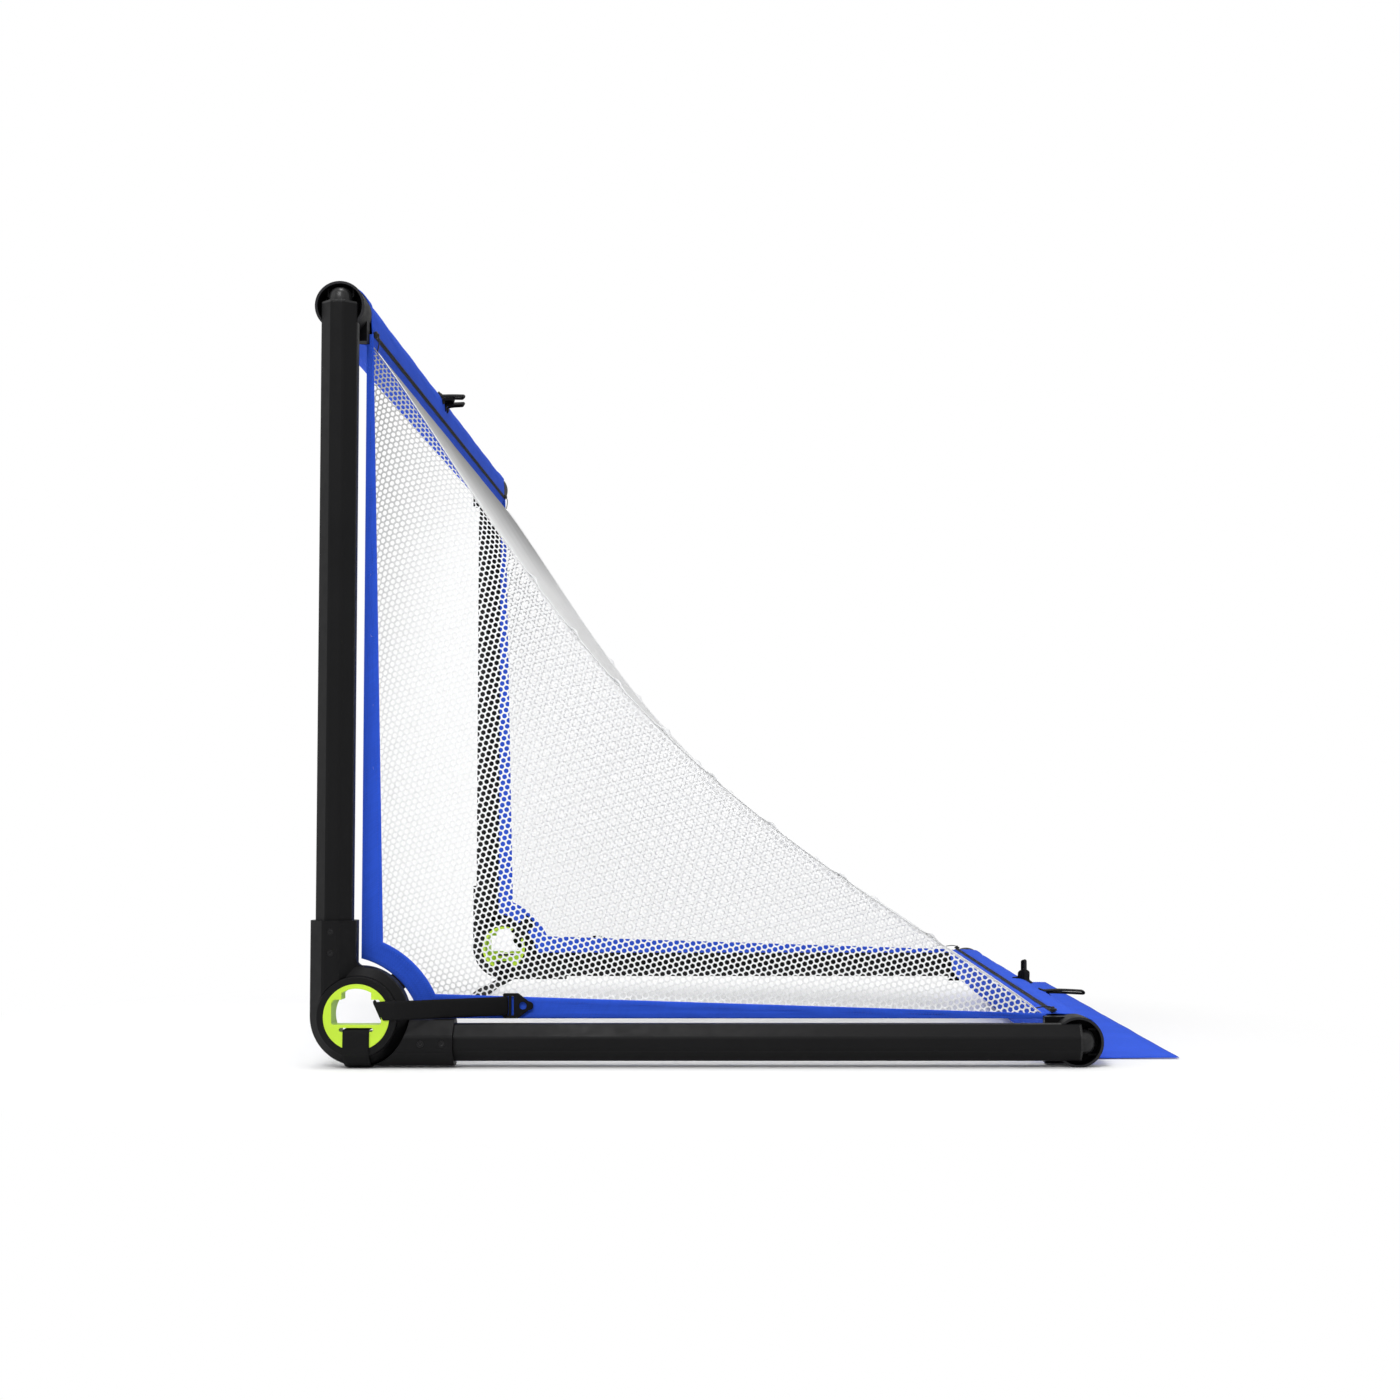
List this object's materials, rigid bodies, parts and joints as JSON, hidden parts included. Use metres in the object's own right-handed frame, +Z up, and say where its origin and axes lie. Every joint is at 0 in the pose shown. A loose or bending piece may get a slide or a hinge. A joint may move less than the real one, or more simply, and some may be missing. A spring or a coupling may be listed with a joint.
{
  "type": "telescopic soccer goal",
  "caption": "Small free-standing soccer goal: two folding side frames joined by a telescoping crossbar and rear bar, with a sagging rear net, side nets and zipped bar sleeves.",
  "frame": {"origin": "centre of the bounding box's footprint, on the ground", "axes": "+X from the goal mouth to the back, +Y across the goal to its right side seen from the back, +Z up"},
  "size_m": [0.8362, 1.2, 0.7502],
  "materials": {
    "black_plastic": "satin",
    "tube_coat": "satin black powder coat",
    "bar_metal": "satin",
    "lime_plastic": "satin",
    "webbing": "woven",
    "blue_fabric": "fine woven",
    "white_net": "knitted mesh",
    "zip": "woven tape",
    "screw_steel": "blackened"
  },
  "bodies": {
    "left_base": {"ground_tube_left": "tube_coat", "ground_knuckle_left": "black_plastic", "hub_core_left": "lime_plastic", "hub_ring_left": "black_plastic", "ground_screws_left": "screw_steel", "rear_socket_left": "black_plastic", "ground_plug_left": "black_plastic", "tension_strap_left": "webbing", "strap_buckle_left": "black_plastic", "hub_strap_left": "webbing", "corner_tab_left": "webbing", "side_trim_left": "blue_fabric", "side_net_left": "white_net", "rear_bar_tube_1": "bar_metal", "rear_bar_collar_1": "black_plastic", "rear_sleeve": "blue_fabric", "rear_zip": "zip", "rear_loops": "webbing", "ground_flap": "blue_fabric", "rear_net": "white_net"},
    "left_post": {"upright_tube_left": "tube_coat", "upright_knuckle_left": "black_plastic", "upright_screws_left": "screw_steel", "top_socket_left": "black_plastic", "upright_plug_left": "black_plastic", "crossbar_tube_1": "bar_metal", "crossbar_collar_1": "black_plastic", "top_sleeve": "blue_fabric", "top_zip": "zip", "top_loops": "webbing"},
    "right_base": {"ground_tube_right": "tube_coat", "ground_knuckle_right": "black_plastic", "hub_core_right": "lime_plastic", "hub_ring_right": "black_plastic", "ground_screws_right": "screw_steel", "rear_socket_right": "black_plastic", "ground_plug_right": "black_plastic", "tension_strap_right": "webbing", "strap_buckle_right": "black_plastic", "hub_strap_right": "webbing", "corner_tab_right": "webbing", "side_trim_right": "blue_fabric", "side_net_right": "white_net", "rear_bar_tube_4": "bar_metal"},
    "right_post": {"upright_tube_right": "tube_coat", "upright_knuckle_right": "black_plastic", "upright_screws_right": "screw_steel", "top_socket_right": "black_plastic", "upright_plug_right": "black_plastic", "crossbar_tube_4": "bar_metal"},
    "rear_stage_2": {"rear_bar_tube_2": "bar_metal", "rear_bar_collar_2": "black_plastic"},
    "rear_stage_3": {"rear_bar_tube_3": "bar_metal", "rear_bar_collar_3": "black_plastic"},
    "cross_stage_2": {"crossbar_tube_2": "bar_metal", "crossbar_collar_2": "black_plastic"},
    "cross_stage_3": {"crossbar_tube_3": "bar_metal", "crossbar_collar_3": "black_plastic"}
  },
  "joints": [
    {"name": "fold", "type": "hinge", "parent": "left_base", "child": "left_post", "pos_m": [-0.3691, -0.5757, 0.0485], "axis": [0, 1, 0], "range_deg": [0, 90], "deforming": ["side_trim_left", "side_net_left", "tension_strap_left"]},
    {"name": "fold_right", "type": "hinge", "parent": "right_base", "child": "right_post", "pos_m": [-0.3691, 0.5757, 0.0485], "axis": [0, 1, 0], "range_deg": [0, 90], "deforming": ["side_trim_right", "side_net_right", "tension_strap_right"]},
    {"name": "telescope", "type": "slide", "parent": "left_base", "child": "right_base", "axis": [0, -1, 0], "range_m": [0, 0.72], "deforming": ["top_sleeve", "rear_sleeve", "top_zip", "rear_zip", "ground_flap", "rear_net", "top_loops", "rear_loops"]},
    {"name": "rear_slide_2", "type": "slide", "parent": "left_base", "child": "rear_stage_2", "axis": [0, -1, 0], "range_m": [0, 0.24]},
    {"name": "rear_slide_3", "type": "slide", "parent": "left_base", "child": "rear_stage_3", "axis": [0, -1, 0], "range_m": [0, 0.48]},
    {"name": "cross_slide_2", "type": "slide", "parent": "left_post", "child": "cross_stage_2", "axis": [0, -1, 0], "range_m": [0, 0.24]},
    {"name": "cross_slide_3", "type": "slide", "parent": "left_post", "child": "cross_stage_3", "axis": [0, -1, 0], "range_m": [0, 0.48]}
  ],
  "couplings": [
    {"joint": "fold_right", "follows": "fold", "ratio": 1},
    {"joint": "rear_slide_2", "follows": "telescope", "ratio": 0.33333},
    {"joint": "rear_slide_3", "follows": "telescope", "ratio": 0.66667},
    {"joint": "cross_slide_2", "follows": "telescope", "ratio": 0.33333},
    {"joint": "cross_slide_3", "follows": "telescope", "ratio": 0.66667}
  ]
}
